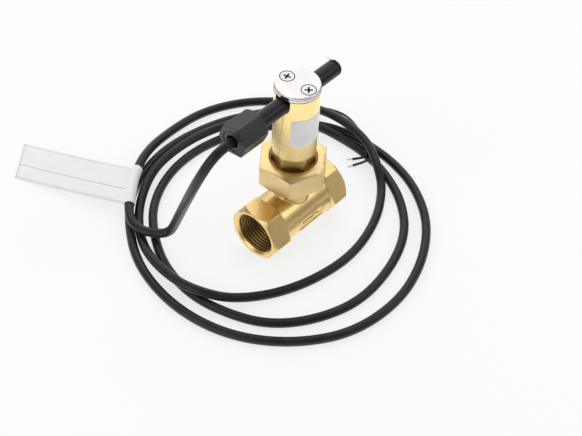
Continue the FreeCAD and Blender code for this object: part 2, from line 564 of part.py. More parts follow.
def make_reed():
    half = REED_LENGTH / 2
    glass = rod(REED_R, REED_LENGTH, V(-half, 0, ROD_Z), X_AXIS)
    glass = glass.makeFillet(REED_R * 0.6, [e for e in glass.Edges if len(e.Vertexes) == 1])
    hollow = rod(REED_R - REED_WALL, REED_LENGTH - 4 * REED_WALL, V(-half + 2 * REED_WALL, 0, ROD_Z), X_AXIS)
    through = rod(LEAD_R, REED_LENGTH, V(-half, 0, ROD_Z), X_AXIS)
    save(glass.cut([hollow, through]), "reed_glass")
    reach = half + LEAD_LENGTH / 2
    left = rod(LEAD_R, reach + REED_OVERLAP, V(-reach, 0, ROD_Z), X_AXIS)
    right = rod(LEAD_R, reach + REED_OVERLAP, V(-REED_OVERLAP, 0, ROD_Z), X_AXIS)
    upper = Part.makeBox(2 * reach, 2 * LEAD_R, LEAD_R, V(-reach, -LEAD_R, ROD_Z))
    keep_low = left.cut(upper.common(Part.makeBox(half + REED_OVERLAP, 1, 1, V(-half, -0.5, ROD_Z - 0.1))))
    low_cut = Part.makeBox(half + REED_OVERLAP, 1, LEAD_R + CONTACT_GAP,
                           V(-REED_OVERLAP, -0.5, ROD_Z - LEAD_R))
    keep_high = right.cut(low_cut)
    save(Part.makeCompound([keep_low, keep_high]), "reed_leads")

    straight = rod(WIRE_R, -reach - ROD_NEAR, V(ROD_NEAR, 0, ROD_Z), X_AXIS)
    side = WIRE_OFFSET
    bend = side / 2
    edges = [Part.LineSegment(V(ROD_NEAR, side, ROD_Z), V(reach, side, ROD_Z)).toShape(),
             Part.Arc(V(reach, side, ROD_Z), V(reach + bend, bend, ROD_Z), V(reach, 0, ROD_Z)).toShape()]
    save(Part.makeCompound([straight, tube(edges, WIRE_R)]), "contact_wires")


# ---------------------------------------------------------------- cable, cores and flag
def make_cable():
    edges, radii = cord_edges(CABLE_ROUTE)
    length = sum(e.Length for e in edges)
    print("cable length %.0f mm, tightest arcs %s" % (length, ["%.1f" % r for r in sorted(radii)[:6]]))
    save(tube(edges, CABLE_R), "cable")
    sleeve_edges = edges[SLEEVE_EDGES]
    outer = tube(sleeve_edges, SLEEVE_R)
    print("sleeve length %.1f mm" % sum(e.Length for e in sleeve_edges))
    save(outer.cut(tube(sleeve_edges, CABLE_R + SLEEVE_GAP)), "tag_sleeve")
    corners = [V(*p) for p in (FLAG_NEAR[0], FLAG_NEAR[1], FLAG_FAR[1], FLAG_FAR[0])]
    return corners, outer


def make_flag(corners, sleeve):
    across = corners[1] - corners[0]
    out = corners[3] - corners[0]
    normal = across.cross(out).normalize()
    far = corners[0] + out
    points = [corners[0], corners[1], corners[1] + out, far]
    plate = Part.Face(Part.makePolygon(points + [points[0]])).extrude(normal * FLAG_T)
    plate = plate.cut(sleeve)
    save(max(plate.Solids, key=lambda s: s.Volume), "tag_flag")


def make_cores():
    bare = []
    for node, route in (("core_brown", BROWN_ROUTE), ("core_blue", BLUE_ROUTE)):
        edges, radii = cord_edges(route)
        print("%s length %.0f mm, tightest arc %.1f" % (node, sum(e.Length for e in edges), min(radii)))
        save(tube(edges, CORE_R), node)
        end = V(*route[-1])
        bare.append(rod(CORE_STRIP_R, CORE_STRIP, end, end - V(*route[-2])))
    save(Part.makeCompound(bare), "core_ends")


def main():
    os.makedirs("parts", exist_ok=True)
    make_tee()
    make_seal()
    make_nut()
    make_head()
    make_return_magnet()
    make_cover()
    make_screws()
    make_label()
    make_pivot()
    make_paddle()
    make_rod()
    make_gland()
    make_reed()
    corners, sleeve = make_cable()
    make_flag(corners, sleeve)
    make_cores()


main()
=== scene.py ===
"""Looks of the paddle flow switch: camera, light, cords, dressed metal pieces and every finish."""
import json
import math

import bmesh
import bpy
from mathutils import Matrix, Vector


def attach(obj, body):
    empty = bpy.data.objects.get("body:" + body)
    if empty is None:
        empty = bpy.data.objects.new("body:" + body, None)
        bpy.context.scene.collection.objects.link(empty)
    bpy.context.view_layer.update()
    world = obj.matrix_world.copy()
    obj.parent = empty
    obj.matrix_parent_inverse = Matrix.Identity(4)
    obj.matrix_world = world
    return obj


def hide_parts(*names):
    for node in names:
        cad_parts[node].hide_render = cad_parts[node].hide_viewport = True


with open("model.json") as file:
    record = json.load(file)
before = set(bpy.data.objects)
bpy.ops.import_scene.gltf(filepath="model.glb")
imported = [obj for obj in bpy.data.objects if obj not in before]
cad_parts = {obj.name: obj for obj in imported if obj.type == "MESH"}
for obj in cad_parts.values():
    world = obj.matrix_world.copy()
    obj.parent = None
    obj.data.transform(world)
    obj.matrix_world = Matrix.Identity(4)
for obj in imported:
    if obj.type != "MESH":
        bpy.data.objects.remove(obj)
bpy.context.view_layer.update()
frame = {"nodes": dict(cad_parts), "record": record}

# ---------------------------------------------------------------- camera
CAMERA_PLACE = (-0.37188, -0.30764, 0.54486)
CAMERA_AZIMUTH = math.radians(-50.5)
CAMERA_ELEVATION = math.radians(48.2)
CAMERA_ROLL = math.radians(3.63)
CAMERA_LENS_MM = 79.8
CAMERA_SENSOR_MM = 36
CAMERA_CLIP = 0.01

# ---------------------------------------------------------------- light and floor
WHITE = (1, 1, 1, 1)
LAMP_TARGET = (0, 0, 0.05)
LAMPS = (                  # name, place, side of the square and power in watts
    ("overhead", (0.65, 0.70, 0.95), 1.9, 10),
    ("left", (-1.0, 0.1, 0.55), 0.7, 3),
    ("right", (0.6, -0.8, 0.8), 0.5, 2),
)
WORLD_FILL = 0.55          # what the room adds to every surface
TENT_TOWARDS = (0.55, 0.65, 0.52)   # metal mirrors a tent that is brightest in this direction
TENT_SPAN = (0.35, 0.9)
TENT_LEVELS = (0.336, 0.64)
FLOOR_HALF = 6.0
FLOOR_Z = -0.0002
FLOOR_GREY = (0.93, 0.93, 0.93, 1)
FLOOR_GLOW = 1.02
FLOOR_GLOW_SHARE = 0.72    # the rest of what the camera sees of the floor is lit, and keeps the shadow
# in mirrored rays the floor is a painted reflection: a glow brighter towards the lit side, darker where the
# object's shadow falls
FLOOR_TOWARDS = (-0.5, 0.87, 0)     # metal mirrors a floor that brightens in this direction
FLOOR_SPAN = (-0.5, 0.0)
FLOOR_LEVELS = (0.5, 1.4)
FLOOR_MIRROR_SHARE = 0.85

# ---------------------------------------------------------------- cords, in metres
CABLE_D = 0.0052
CORE_D = 0.0015
CORD_STEPS = 10            # between two points of a route
CORD_ROUNDNESS = 6
FLOOR = CABLE_D / 2        # height of the cable's centre where it lies on the floor
CABLE_ROUTE = [
    (-0.0415, 0, 0.09912), (-0.051, 0, 0.09912), (-0.060, 0.001, 0.096), (-0.067, 0.004, 0.084),
    (-0.066, 0.013, 0.062), (-0.061, 0.024, 0.039), (-0.058, 0.032, 0.021), (-0.058, 0.036, 0.012),
    (-0.061, 0.041, 0.0086), (-0.066, 0.049, 0.0086), (-0.066, 0.058, 0.0086), (-0.061, 0.066, 0.0086),
    (-0.052, 0.074, 0.0086), (-0.041, 0.083, 0.0086), (-0.021, 0.094, 0.0068), (0.005, 0.099, FLOOR),
    (0.029, 0.097, FLOOR), (0.052, 0.086, FLOOR), (0.070, 0.069, FLOOR), (0.077, 0.049, 0.0055),
    (0.077, 0.031, 0.0098), (0.076, 0.016, 0.0098), (0.072, 0.002, 0.0098), (0.064, -0.011, 0.008),
    (0.056, -0.022, FLOOR), (0.035, -0.035, FLOOR), (0.007, -0.042, FLOOR), (-0.020, -0.039, FLOOR),
    (-0.044, -0.030, FLOOR), (-0.064, -0.017, 0.005), (-0.074, -0.004, 0.0086), (-0.078, 0.011, 0.0086),
    (-0.076, 0.031, 0.007), (-0.068, 0.049, FLOOR), (-0.056, 0.064, FLOOR), (-0.042, 0.074, 0.0052),
    (-0.026, 0.081, 0.0066), (-0.006, 0.083, 0.0066), (0.013, 0.081, 0.0066), (0.031, 0.074, 0.0076),
    (0.046, 0.063, 0.0086), (0.057, 0.050, 0.0086), (0.066, 0.036, 0.0064), (0.071, 0.020, FLOOR),
    (0.071, 0.003, FLOOR), (0.066, -0.017, FLOOR), (0.056, -0.036, FLOOR), (0.039, -0.053, FLOOR),
    (0.014, -0.063, FLOOR), (-0.016, -0.066, FLOOR), (-0.042, -0.057, FLOOR), (-0.062, -0.041, FLOOR),
    (-0.072, -0.019, FLOOR), (-0.076, 0.003, FLOOR), (-0.072, 0.026, FLOOR), (-0.061, 0.046, FLOOR),
    (-0.046, 0.063, FLOOR), (-0.024, 0.074, FLOOR), (-0.001, 0.077, FLOOR), (0.021, 0.073, FLOOR),
    (0.040, 0.065, FLOOR), (0.056, 0.054, FLOOR), (0.069, 0.041, FLOOR), (0.076, 0.026, FLOOR),
    (0.078, 0.008, FLOOR), (0.077, -0.013, FLOOR), (0.070, -0.035, FLOOR), (0.054, -0.057, FLOOR),
    (0.029, -0.073, FLOOR), (-0.001, -0.081, FLOOR), (-0.034, -0.077, FLOOR), (-0.059, -0.061, FLOOR),
    (-0.077, -0.039, FLOOR), (-0.086, -0.014, FLOOR), (-0.087, 0.013, FLOOR), (-0.080, 0.040, FLOOR),
    (-0.065, 0.062, FLOOR), (-0.049, 0.078, FLOOR), (-0.025, 0.088, FLOOR), (-0.002, 0.090, FLOOR),
    (0.021, 0.086, FLOOR), (0.042, 0.078, FLOOR), (0.059, 0.067, FLOOR),
]
BROWN_ROUTE = [
    (0.0595, 0.0678, 0.0026), (0.0646, 0.0645, 0.0024), (0.0715, 0.059, 0.0008),
    (0.0795, 0.0535, 0.0008), (0.086, 0.046, 0.0008), (0.089, 0.0365, 0.0008), (0.0864, 0.028, 0.0032),
    (0.0814, 0.019, 0.0061), (0.0768, 0.0108, 0.0061), (0.072, 0.003, 0.0061),
    (0.0689, -0.0015, 0.00585), (0.067, -0.0032, 0.0056), (0.0656, -0.0016, 0.0042),
    (0.0643, 0.0002, 0.0024), (0.0618, 0.0021, 0.0014), (0.0594, 0.0034, 0.0011),
]
BLUE_ROUTE = [
    (0.0585, 0.0662, 0.0026), (0.0636, 0.0629, 0.0024), (0.070, 0.0565, 0.0008), (0.078, 0.050, 0.0008),
    (0.0835, 0.0425, 0.0008), (0.0855, 0.034, 0.0008), (0.0835, 0.026, 0.0035), (0.0791, 0.0186, 0.0061),
    (0.075, 0.011, 0.0061), (0.0714, 0.0054, 0.0062), (0.0686, 0.0006, 0.006), (0.0669, 0.0005, 0.0051),
    (0.066, 0.0032, 0.0027), (0.0648, 0.0055, 0.0014), (0.0632, 0.007, 0.0011),
]

# ---------------------------------------------------------------- shapes, in metres
JOIN_DISTANCE = 1e-6
FLAT_ANGLE = math.radians(0.5)
EDGE_ANGLE = math.radians(30)
EDGE_STEPS = 2
EDGE_WIDTHS = {
    "tee_body": 0.0004, "union_nut": 0.0003, "switch_head": 0.0003, "cover_disc": 0.00025,
    "cover_screws": 0.00012, "gland_nut": 0.0003, "rod_plug": 0.0002,
}
FLAT_WEIGHT = 90           # how much large faces decide the shading, of 100

PIPE_Z = 0.0152
THREAD_R = 0.01206
THREAD_DEPTH = 0.001
THREAD_PITCH = 0.001814
THREAD_INNER_X = 0.015
THREAD_OUTER_X = 0.02856
THREAD_FADE = 0.0006       # length over which the ridges run out at each end
THREAD_CLIPPED = 0.2       # share of the wave that is cut flat at the crest, and at the root
ROWS_PER_TURN = 8
THREAD_COLUMNS = 72
ON_BORE = 0.00004          # how near a face is to the bore that the threads stand for
PAST_STEP = 0.0001

COVER_TOP = 0.107
WRENCH_TOP = 0.0615
SCREW_PLACES = ((-0.0073, math.radians(43)), (0.0073, math.radians(15)))   # y and turn of each screw
RECESS_ARM = 0.00208
RECESS_HALF = 0.00055
RECESS_RINGS = ((0.00001, 1.0), (0.0012, 0.8))   # depth below the cover's top, and taper
# the screw rings are painted shadow in the gap round each screw head
SCREW_RING_R = 0.00385
SCREW_RING_WIRE = 0.00029
SCREW_RING_SINK = 0.00012
# the rim lines are painted shadow in the seams round the disc
RIM_SHADOW_LINES = ((0.01196, 0.10565), (0.01197, 0.10385))   # radius and height of the dark lines round the disc
RIM_WIRE = 0.00017
RING_STEPS = 72
WIRE_STEPS = 8

FLAG_NEAR = ((-0.0585, 0.0693, 0.0086), (-0.0365, 0.0856, 0.0086))
FLAG_FAR = ((-0.0844, 0.1365, 0.0002), (-0.0628, 0.1539, 0.0002))
FLAG_T = 0.00035
FLAG_DROOP = 1.25          # 1 for a straight strip, more for one that sags towards its far end
FLAG_COLUMNS = 10
FLAG_ROWS = 28
FLAG_LINE_AT = 0.40        # share of the width where the ruled line runs
FLAG_LINE_HALF = 0.006
FLAG_LINE_GREY = (0.25, 0.25, 0.28, 1)


# ---------------------------------------------------------------- node helpers
def new_material(name):
    material = bpy.data.materials.new(name)
    material.use_nodes = True
    nodes = material.node_tree.nodes
    nodes.clear()
    output = nodes.new("ShaderNodeOutputMaterial")
    shader = nodes.new("ShaderNodeBsdfPrincipled")
    link(material, shader.outputs["BSDF"], output.inputs["Surface"])
    return material, shader


def link(material, source, target):
    material.node_tree.links.new(source, target)


def stretched_place(material, stretch):
    """The object's own coordinates, in metres, stretched along each axis."""
    nodes = material.node_tree.nodes
    place = nodes.new("ShaderNodeTexCoord")
    mapping = nodes.new("ShaderNodeMapping")
    mapping.inputs["Scale"].default_value = stretch
    link(material, place.outputs["Object"], mapping.inputs["Vector"])
    return mapping.outputs["Vector"]


def noise(material, scale, detail, stretch=(1, 1, 1)):
    texture = material.node_tree.nodes.new("ShaderNodeTexNoise")
    texture.inputs["Scale"].default_value = scale
    texture.inputs["Detail"].default_value = detail
    link(material, stretched_place(material, stretch), texture.inputs["Vector"])
    return texture.outputs["Fac"]


NOISE_LOW, NOISE_HIGH = 0.3, 0.7     # nearly all of a noise lies between these


def ramp(material, source, low, high):
    """A colour between low and high that follows a noise."""
    node = material.node_tree.nodes.new("ShaderNodeValToRGB")
    for element, position, colour in zip(node.color_ramp.elements, (NOISE_LOW, NOISE_HIGH), (low, high)):
        element.position = position
        element.color = (*colour, 1)
    link(material, source, node.inputs["Fac"])
    return node.outputs["Color"]


def spread(material, source, low, high):
    """A number between low and high that follows a noise."""
    node = material.node_tree.nodes.new("ShaderNodeMapRange")
    node.inputs["From Min"].default_value = NOISE_LOW
    node.inputs["From Max"].default_value = NOISE_HIGH
    node.inputs["To Min"].default_value = low
    node.inputs["To Max"].default_value = high
    link(material, source, node.inputs["Value"])
    return node.outputs["Result"]


def bumps(material, shader, layers):
    """Stack bump layers of (height source, strength, depth in metres)."""
    normal = None
    for source, strength, depth in layers:
        node = material.node_tree.nodes.new("ShaderNodeBump")
        node.inputs["Strength"].default_value = strength
        node.inputs["Distance"].default_value = depth
        link(material, source, node.inputs["Height"])
        if normal:
            link(material, normal, node.inputs["Normal"])
        normal = node.outputs["Normal"]
    link(material, normal, shader.inputs["Normal"])


# ---------------------------------------------------------------- finishes
def metal(name, dark, light, rough, grain=9000, stretch=(1, 1, 1), strength=0.25, uneven=0.05):
    """Metal with cloudy colour, uneven gloss and a fine machined or blasted grain."""
    material, shader = new_material(name)
    shader.inputs["Metallic"].default_value = 1.0
    cloud = noise(material, 110, 4)
    fine = noise(material, grain, 2, stretch)
    link(material, ramp(material, cloud, dark, light), shader.inputs["Base Color"])
    link(material, spread(material, fine, rough - uneven, rough + uneven), shader.inputs["Roughness"])
    bumps(material, shader, [(fine, strength, 0.00002), (cloud, 0.15, 0.0001)])
    return material


def plastic(name, dark, light, rough, grain=5000, stretch=(1, 1, 1), depth=0.00003, strength=0.3,
            specular=0.5):
    """Moulded plastic, rubber or film with cloudy colour, uneven gloss and a fine grain."""
    material, shader = new_material(name)
    shader.inputs["Specular IOR Level"].default_value = specular
    cloud = noise(material, 160, 3)
    fine = noise(material, grain, 2, stretch)
    link(material, ramp(material, cloud, dark, light), shader.inputs["Base Color"])
    link(material, spread(material, fine, rough - 0.05, rough + 0.07), shader.inputs["Roughness"])
    bumps(material, shader, [(fine, strength, depth)])
    return material


def glass(name):
    """Clear glass with a faint green cast."""
    material, shader = new_material(name)
    shader.inputs["Transmission Weight"].default_value = 1.0
    shader.inputs["IOR"].default_value = 1.47
    cloud = noise(material, 300, 2)
    tint = ramp(material, cloud, (0.80, 0.90, 0.85), (0.88, 0.95, 0.90))
    link(material, tint, shader.inputs["Base Color"])
    link(material, spread(material, cloud, 0.02, 0.08), shader.inputs["Roughness"])
    return material


def tag_paper(name):
    """White laminated paper with one thin grey ruled line where the mesh's "across" value says."""
    material, shader = new_material(name)
    nodes = material.node_tree.nodes
    cloud = noise(material, 90, 3)
    white = ramp(material, cloud, (0.84, 0.84, 0.87), (0.88, 0.88, 0.91))
    across = nodes.new("ShaderNodeAttribute")
    across.attribute_name = "across"
    on_line = nodes.new("ShaderNodeMath")
    on_line.operation = "COMPARE"
    on_line.inputs[1].default_value = FLAG_LINE_AT
    on_line.inputs[2].default_value = FLAG_LINE_HALF
    link(material, across.outputs["Fac"], on_line.inputs[0])
    inked = nodes.new("ShaderNodeMix")
    inked.data_type = "RGBA"
    inked.inputs["B"].default_value = FLAG_LINE_GREY
    link(material, on_line.outputs["Value"], inked.inputs["Factor"])
    link(material, white, inked.inputs["A"])
    link(material, inked.outputs["Result"], shader.inputs["Base Color"])
    link(material, spread(material, cloud, 0.35, 0.5), shader.inputs["Roughness"])
    bumps(material, shader, [(cloud, 0.2, 0.0001)])
    return material


# dark colour, light colour and roughness of each metal, then what differs from the usual grain
METALS = {
    "brass_cast": ((0.67, 0.475, 0.195), (0.77, 0.565, 0.25), 0.34, {}),
    # a darkened copy of the cast brass: painted shade in the bore and on its thread ridges
    "brass_thread_painted_shade": ((0.26, 0.16, 0.05), (0.36, 0.24, 0.08), 0.38, {}),
    "brass_plated": ((0.88, 0.67, 0.30), (0.92, 0.72, 0.34), 0.27,
                     {"grain": 700, "stretch": (1, 1, 14), "strength": 0.03, "uneven": 0.02}),
    "brass_nut": ((0.70, 0.52, 0.25), (0.77, 0.59, 0.30), 0.31,
                  {"grain": 1500, "strength": 0.04, "uneven": 0.02}),
    # a darkened copy of the plated brass: painted shade on the wrench hexagon under the tower's edge and
    # above the nut
    "brass_wrench_painted_shade": ((0.46, 0.34, 0.14), (0.56, 0.42, 0.18), 0.36,
                     {"grain": 1500, "strength": 0.04, "uneven": 0.02}),
    "nickel": ((0.60, 0.58, 0.575), (0.68, 0.66, 0.65), 0.2, {}),
    "screw_steel": ((0.56, 0.55, 0.54), (0.66, 0.65, 0.64), 0.25, {}),
    "steel": ((0.55, 0.55, 0.56), (0.66, 0.66, 0.67), 0.30, {}),
    "magnet": ((0.50, 0.50, 0.52), (0.60, 0.60, 0.62), 0.20, {}),
    "contact_metal": ((0.62, 0.58, 0.50), (0.72, 0.68, 0.60), 0.25, {}),
    "copper": ((0.56, 0.42, 0.34), (0.72, 0.60, 0.52), 0.34, {"grain": 2500, "stretch": (1, 1, 6)}),
}
# the same for each plastic; the contact rod's grain is drawn out into grooves along it
PLASTICS = {
    "label_white": ((0.78, 0.78, 0.78), (0.84, 0.84, 0.84), 0.35, {"depth": 0.00001}),
    "seal_rubber": ((0.02, 0.02, 0.02), (0.035, 0.035, 0.035), 0.6, {}),
    # painted shadow for the screw recesses and for the gaps round the screws and the disc
    "shadow_gap": ((0.004, 0.004, 0.004), (0.010, 0.009, 0.008), 0.7, {"specular": 0.1}),
    "inner_plastic": ((0.74, 0.73, 0.68), (0.80, 0.79, 0.74), 0.45, {}),
    "black_plastic": ((0.004, 0.004, 0.004), (0.010, 0.010, 0.010), 0.36,
                      {"grain": 1800, "stretch": (0.12, 1, 1), "depth": 0.00008, "strength": 0.5,
                       "specular": 0.3}),
    "gland_plastic": ((0.005, 0.005, 0.006), (0.012, 0.012, 0.014), 0.34, {}),
    "wire_sheath": ((0.20, 0.07, 0.04), (0.28, 0.11, 0.06), 0.4, {}),
    "cable_sheath": ((0.006, 0.006, 0.006), (0.013, 0.013, 0.014), 0.38, {"specular": 0.35}),
    "core_brown": ((0.07, 0.030, 0.018), (0.11, 0.050, 0.028), 0.4, {"specular": 0.3}),
    "core_blue": ((0.006, 0.009, 0.025), (0.012, 0.018, 0.045), 0.4, {"specular": 0.3}),
}
FINISH = {name: metal(name, *base, **extra) for name, (*base, extra) in METALS.items()}
FINISH |= {name: plastic(name, *base, **extra) for name, (*base, extra) in PLASTICS.items()}
FINISH |= {"tag_paper": tag_paper("tag_paper"), "glass": glass("glass")}


# ---------------------------------------------------------------- making the camera, light and floor
def aim_camera():
    data = bpy.data.cameras.new("camera")
    data.lens = CAMERA_LENS_MM
    data.sensor_width = CAMERA_SENSOR_MM
    data.clip_start = CAMERA_CLIP
    back = Vector((math.sin(CAMERA_AZIMUTH) * math.cos(CAMERA_ELEVATION),
                   -math.cos(CAMERA_AZIMUTH) * math.cos(CAMERA_ELEVATION), math.sin(CAMERA_ELEVATION)))
    level = Vector((math.cos(CAMERA_AZIMUTH), math.sin(CAMERA_AZIMUTH), 0))
    upright = back.cross(level)
    right = level * math.cos(CAMERA_ROLL) + upright * math.sin(CAMERA_ROLL)
    up = upright * math.cos(CAMERA_ROLL) - level * math.sin(CAMERA_ROLL)
    turned = Matrix((right, up, back)).transposed().to_4x4()
    camera = add_object("camera", data)
    camera.matrix_world = Matrix.Translation(CAMERA_PLACE) @ turned
    bpy.context.scene.camera = camera


def softbox(name, place, side, power):
    data = bpy.data.lights.new(name, "AREA")
    data.shape = "RECTANGLE"
    data.size = data.size_y = side
    data.energy = power
    lamp = add_object(name, data)
    lamp.location = place
    lamp.rotation_euler = (Vector(LAMP_TARGET) - Vector(place)).to_track_quat("-Z", "Y").to_euler()


def ray_kinds(nodes, links):
    """Two outputs: 1 for rays straight from the camera or through glass, and 1 for mirrored rays."""
    path = nodes.new("ShaderNodeLightPath")
    direct = nodes.new("ShaderNodeMath")
    direct.operation = "MAXIMUM"
    links.new(path.outputs["Is Camera Ray"], direct.inputs[0])
    links.new(path.outputs["Is Transmission Ray"], direct.inputs[1])
    return direct.outputs["Value"], path.outputs["Is Glossy Ray"]


def bright_towards(nodes, links, coordinates, direction, span, levels):
    """A brightness that rises along one direction of the room, from levels[0] at span[0] to levels[1]."""
    place = nodes.new("ShaderNodeTexCoord")
    along = nodes.new("ShaderNodeVectorMath")
    along.operation = "DOT_PRODUCT"
    along.inputs[1].default_value = direction
    links.new(place.outputs[coordinates], along.inputs[0])
    level = nodes.new("ShaderNodeMapRange")
    level.interpolation_type = "SMOOTHSTEP"
    level.inputs["From Min"].default_value, level.inputs["From Max"].default_value = span
    level.inputs["To Min"].default_value, level.inputs["To Max"].default_value = levels
    links.new(along.outputs["Value"], level.inputs["Value"])
    return level.outputs["Result"]


def white_source(nodes, kind, strength=1.0):
    """A white Background or Emission node."""
    node = nodes.new("ShaderNode" + kind)
    node.inputs["Color"].default_value = WHITE
    node.inputs["Strength"].default_value = strength
    return node


def scaled(nodes, links, value, factor):
    node = nodes.new("ShaderNodeMath")
    node.operation = "MULTIPLY"
    node.inputs[1].default_value = factor
    links.new(value, node.inputs[0])
    return node.outputs["Value"]


def blend(nodes, links, share, first, second):
    """The first shader where share is 0, and the second where it is 1."""
    node = nodes.new("ShaderNodeMixShader")
    links.new(share, node.inputs["Fac"])
    links.new(first, node.inputs[1])
    links.new(second, node.inputs[2])
    return node.outputs["Shader"]


def make_world():
    """White where it is looked at, an uneven tent where metal mirrors it, and an even fill light."""
    world = bpy.data.worlds.new("studio")
    bpy.context.scene.world = world
    world.use_nodes = True
    nodes, links = world.node_tree.nodes, world.node_tree.links
    nodes.clear()
    direct, mirrored = ray_kinds(nodes, links)
    fill = white_source(nodes, "Background", WORLD_FILL)
    tent = white_source(nodes, "Background")
    links.new(bright_towards(nodes, links, "Generated", TENT_TOWARDS, TENT_SPAN, TENT_LEVELS),
              tent.inputs["Strength"])
    backdrop = white_source(nodes, "Background")
    unseen = blend(nodes, links, mirrored, fill.outputs["Background"], tent.outputs["Background"])
    seen = blend(nodes, links, direct, unseen, backdrop.outputs["Background"])
    output = nodes.new("ShaderNodeOutputWorld")
    links.new(seen, output.inputs["Surface"])


def make_floor():
    """White sweep: bright by itself where it is looked at, with the object's soft shadow kept, and a
    painted reflection where metal mirrors it.
    """
    mesh = bpy.data.meshes.new("floor")
    half = FLOOR_HALF
    corners = [(-half, -half, 0), (half, -half, 0), (half, half, 0), (-half, half, 0)]
    mesh.from_pydata(corners, [], [(0, 1, 2, 3)])
    floor = add_object("floor", mesh)
    floor.location.z = FLOOR_Z
    material = bpy.data.materials.new("floor_white")
    material.use_nodes = True
    nodes, links = material.node_tree.nodes, material.node_tree.links
    nodes.clear()
    direct, mirrored = ray_kinds(nodes, links)
    matte = nodes.new("ShaderNodeBsdfDiffuse")
    matte.inputs["Color"].default_value = FLOOR_GREY
    glow = white_source(nodes, "Emission", FLOOR_GLOW)
    painted_reflection_glow = white_source(nodes, "Emission")
    links.new(bright_towards(nodes, links, "Object", FLOOR_TOWARDS, FLOOR_SPAN, FLOOR_LEVELS),
              painted_reflection_glow.inputs["Strength"])
    looked_at = blend(nodes, links, scaled(nodes, links, direct, FLOOR_GLOW_SHARE),
                      matte.outputs["BSDF"], glow.outputs["Emission"])
    # in mirrored rays most of the floor is the painted reflection glow
    surface = blend(nodes, links, scaled(nodes, links, mirrored, FLOOR_MIRROR_SHARE),
                    looked_at, painted_reflection_glow.outputs["Emission"])
    output = nodes.new("ShaderNodeOutputMaterial")
    links.new(surface, output.inputs["Surface"])
    mesh.materials.append(material)


def light_studio():
    make_world()
    make_floor()
    for lamp in LAMPS:
        softbox(*lamp)


# ---------------------------------------------------------------- piece helpers
def add_object(name, data):
    piece = bpy.data.objects.new(name, data)
    bpy.context.scene.collection.objects.link(piece)
    return piece


def finish_piece(piece, finish, body, *nodes):
    """Give a new piece its finish, its body, and the CAD nodes that it stands for."""
    piece.data.materials.clear()
    piece.data.materials.append(FINISH[finish])
    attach(piece, body)
    if nodes:
        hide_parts(*nodes)
    return piece


def mesh_of(shape, name, smooth=True):
    mesh = bpy.data.meshes.new(name)
    shape.to_mesh(mesh)
    shape.free()
    if smooth:
        mesh.shade_smooth()
    return mesh


def skin(shape, grid, flipped=False):
    """Faces between each row of vertices and the next."""
    for lower, upper in zip(grid, grid[1:]):
        for column in range(len(lower) - 1):
            corners = (lower[column], lower[column + 1], upper[column + 1], upper[column])
            shape.faces.new(corners[::-1] if flipped else corners)


def second_finish(piece, finish, chosen):
    """Give the faces that chosen picks by their centre another finish."""
    piece.data.materials.append(FINISH[finish])
    for face in piece.data.polygons:
        if chosen(face.center):
            face.material_index = 1


# ---------------------------------------------------------------- cords and the tag's flag
def cord_piece(node, route, diameter, finish):
    """A round cord on one smooth spline whose control points are the route's."""
    curve = bpy.data.curves.new(node + "_cord", "CURVE")
    curve.dimensions = "3D"
    spline = curve.splines.new("NURBS")
    spline.points.add(len(route) - 1)
    for point, place in zip(spline.points, route):
        point.co = (*place, 1)
    spline.order_u = 3
    spline.use_endpoint_u = True
    spline.resolution_u = CORD_STEPS
    curve.bevel_depth = diameter / 2
    curve.bevel_resolution = CORD_ROUNDNESS
    curve.use_fill_caps = True
    return finish_piece(add_object(node + "_cord", curve), finish, "contact", node)


def flag_piece():
    """The tag's flag: a thin strip that leaves the sleeve level and sags to the floor."""
    near, far = ([Vector(corner) for corner in end] for end in (FLAG_NEAR, FLAG_FAR))
    low, high = far[0].z, near[0].z
    shape = bmesh.new()
    grid = []
    for row in range(FLAG_ROWS + 1):
        along = row / FLAG_ROWS
        left, right = (a.lerp(b, along) for a, b in zip(near, far))
        line = []
        for column in range(FLAG_COLUMNS + 1):
            place = left.lerp(right, column / FLAG_COLUMNS)
            place.z = low + (high - low) * (1 - along) ** FLAG_DROOP
            line.append(shape.verts.new(place))
        grid.append(line)
    skin(shape, grid)
    bmesh.ops.recalc_face_normals(shape, faces=shape.faces)
    mesh = mesh_of(shape, "flag")
    across = mesh.attributes.new("across", "FLOAT", "POINT")
    for index, value in enumerate(across.data):
        value.value = (index % (FLAG_COLUMNS + 1)) / FLAG_COLUMNS
    piece = add_object("tag_flag_sheet", mesh)
    thick = piece.modifiers.new("thickness", "SOLIDIFY")
    thick.thickness = FLAG_T
    thick.offset = 1
    return finish_piece(piece, "tag_paper", "contact", "tag_flag")


def make_cords():
    flag = flag_piece()
    cable = cord_piece("cable", CABLE_ROUTE, CABLE_D, "cable_sheath")
    brown = cord_piece("core_brown", BROWN_ROUTE, CORE_D, "core_brown")
    blue = cord_piece("core_blue", BLUE_ROUTE, CORE_D, "core_blue")


# ---------------------------------------------------------------- dressed CAD nodes
def dress(node, body, finish, dropped=None):
    """A copy of a CAD node with softly rounded edges. dropped picks faces that another piece stands for."""
    mesh = frame["nodes"][node].data.copy()
    shape = bmesh.new()
    shape.from_mesh(mesh)
    bmesh.ops.remove_doubles(shape, verts=shape.verts, dist=JOIN_DISTANCE)
    if dropped:
        bmesh.ops.delete(shape, geom=[f for f in shape.faces if dropped(f)], context="FACES")
    bmesh.ops.dissolve_limit(shape, angle_limit=FLAT_ANGLE, verts=shape.verts, edges=shape.edges)
    shape.to_mesh(mesh)
    shape.free()
    mesh.shade_smooth()
    piece = add_object(node + "_dressed", mesh)
    rounding = piece.modifiers.new("rounding", "BEVEL")
    rounding.width = EDGE_WIDTHS[node]
    rounding.segments = EDGE_STEPS
    rounding.limit_method = "ANGLE"
    rounding.angle_limit = EDGE_ANGLE
    rounding.use_clamp_overlap = False
    flatten = piece.modifiers.new("flatten", "WEIGHTED_NORMAL")
    flatten.weight = FLAT_WEIGHT
    return finish_piece(piece, finish, body, node)


